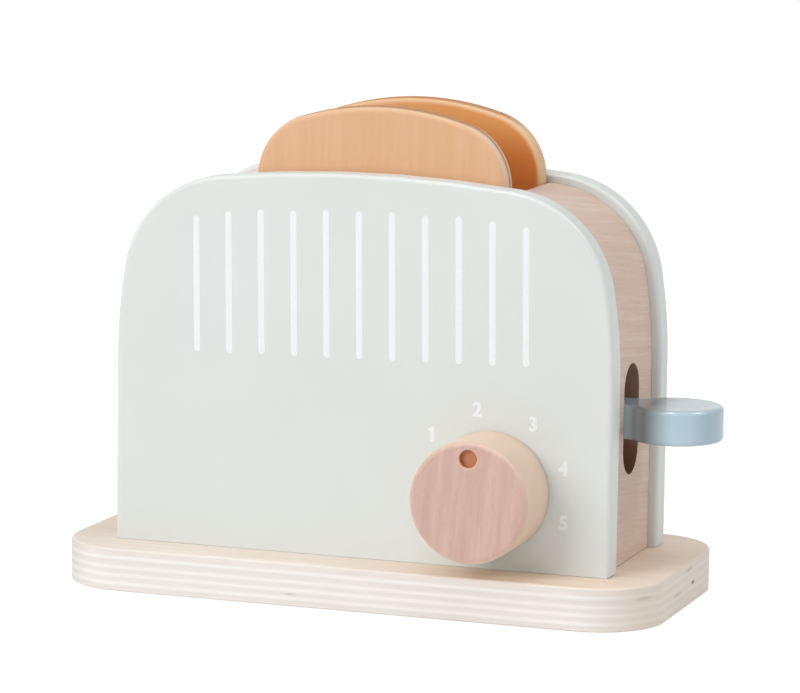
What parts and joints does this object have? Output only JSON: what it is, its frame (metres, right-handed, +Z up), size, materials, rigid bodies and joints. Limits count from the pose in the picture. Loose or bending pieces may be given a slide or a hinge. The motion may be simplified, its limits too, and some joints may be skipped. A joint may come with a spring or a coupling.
{
  "type": "toy toaster",
  "caption": "Wooden toy toaster with an arched body on a base board, a see-saw lever that lifts two bread slices, and a turning dial.",
  "frame": {"origin": "centre of the base board's underside", "axes": "+X along the base towards the lever's paddle, +Y from the front panel to the back panel, +Z up"},
  "size_m": [0.2789, 0.1361, 0.2089],
  "materials": {
    "birch_plywood": "satin lacquer",
    "pale_grey_paint": "satin paint on wood",
    "beech": "sanded and oiled",
    "knob_beech": "sanded and lacquered",
    "toast_stain": "stained and lacquered",
    "pale_blue_paint": "satin paint on wood",
    "zinc_plated_steel": "zinc plated"
  },
  "bodies": {
    "housing": {"base_board": "birch_plywood", "front_panel": "pale_grey_paint", "back_panel": "pale_grey_paint", "left_cheek": "beech", "right_cheek": "beech", "slot_divider": "beech", "lever_rest_block": "beech", "lever_pivot_pin": "zinc_plated_steel", "front_panel_dowel_1": "beech", "front_panel_dowel_2": "beech", "front_panel_dowel_3": "beech", "front_panel_dowel_4": "beech", "back_panel_dowel_1": "beech", "back_panel_dowel_2": "beech", "back_panel_dowel_3": "beech", "back_panel_dowel_4": "beech", "left_divider_dowel_1": "beech", "left_divider_dowel_2": "beech", "right_divider_dowel_1": "beech", "right_divider_dowel_2": "beech", "base_screw_1": "zinc_plated_steel", "base_screw_2": "zinc_plated_steel", "base_screw_3": "zinc_plated_steel", "base_screw_4": "zinc_plated_steel", "base_screw_5": "zinc_plated_steel", "base_screw_6": "zinc_plated_steel"},
    "lever": {"lift_lever": "pale_blue_paint"},
    "lifter": {"bread_lifter": "beech"},
    "front_slice": {"bread_slice_front": "toast_stain"},
    "rear_slice": {"bread_slice_rear": "toast_stain"},
    "dial": {"dial_knob": "knob_beech", "knob_spindle": "beech", "knob_collar": "beech", "knob_screw": "zinc_plated_steel"}
  },
  "joints": [
    {"name": "lever_tilt", "type": "hinge", "parent": "housing", "child": "lever", "pos_m": [0.08335, 0, 0.0793], "axis": [0, 1, 0], "range_deg": [0, 12]},
    {"name": "lifter_rise", "type": "slide", "parent": "housing", "child": "lifter", "axis": [0, 0, 1], "range_m": [0, 0.0176]},
    {"name": "front_slice_out", "type": "slide", "parent": "lifter", "child": "front_slice", "axis": [0, 0, 1], "range_m": [0, 0.096]},
    {"name": "rear_slice_out", "type": "slide", "parent": "lifter", "child": "rear_slice", "axis": [0, 0, 1], "range_m": [0, 0.096]},
    {"name": "dial_turn", "type": "hinge", "parent": "housing", "child": "dial", "pos_m": [0.0587, -0.0423, 0.0518], "axis": [0, 1, 0], "continuous": true}
  ],
  "couplings": [
    {"joint": "lifter_rise", "follows": "lever_tilt", "m_per_rad": 0.084}
  ]
}
